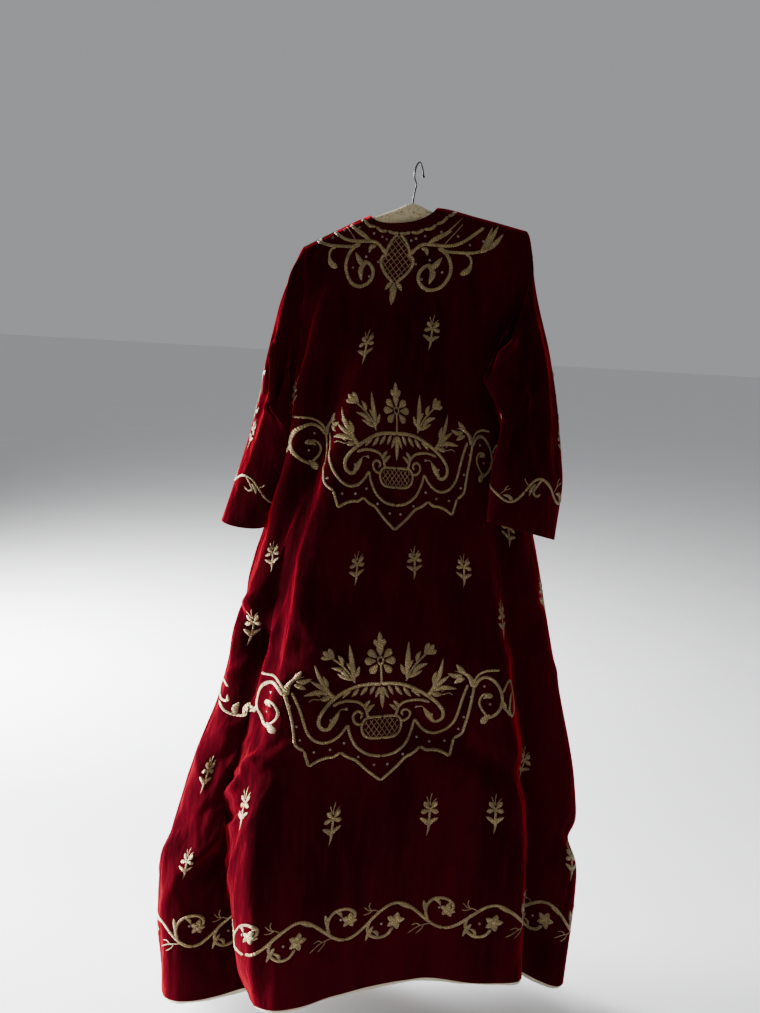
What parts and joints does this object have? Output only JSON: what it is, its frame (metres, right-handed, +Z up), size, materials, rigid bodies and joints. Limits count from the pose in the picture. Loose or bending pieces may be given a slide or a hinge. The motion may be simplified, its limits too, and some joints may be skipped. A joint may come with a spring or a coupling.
{
  "type": "velvet ceremonial robe on a padded hanger",
  "caption": "Long wide-sleeved velvet ceremonial robe with gold embroidery, hanging on a padded hanger with a bent wire hook.",
  "frame": {"origin": "inside of the hook's crown, where it rests on whatever holds the hanger up", "axes": "+Z up, the shown side with the embroidery towards -Y, +X to the right of someone who faces that side"},
  "size_m": [0.7827, 0.3809, 1.5626],
  "materials": {
    "velvet": "deep red cotton velvet with a soft sheen along the folds",
    "lining": "plain cream cotton",
    "gold_thread": "couched gold metal thread with small pale sequins, sewn on the velvet",
    "padding": "cream brocade over padding",
    "wire": "dark steel wire"
  },
  "bodies": {
    "root": {"front_panel": "velvet", "back_panel_left": "velvet", "back_panel_right": "velvet", "side_gore_left": "velvet", "side_gore_right": "velvet", "sleeve_left": "velvet", "sleeve_right": "velvet", "hem_lining": "lining", "hanger_body": "padding", "hanger_hook": "wire", "hanger_hook_tip": "wire"}
  },
  "joints": []
}
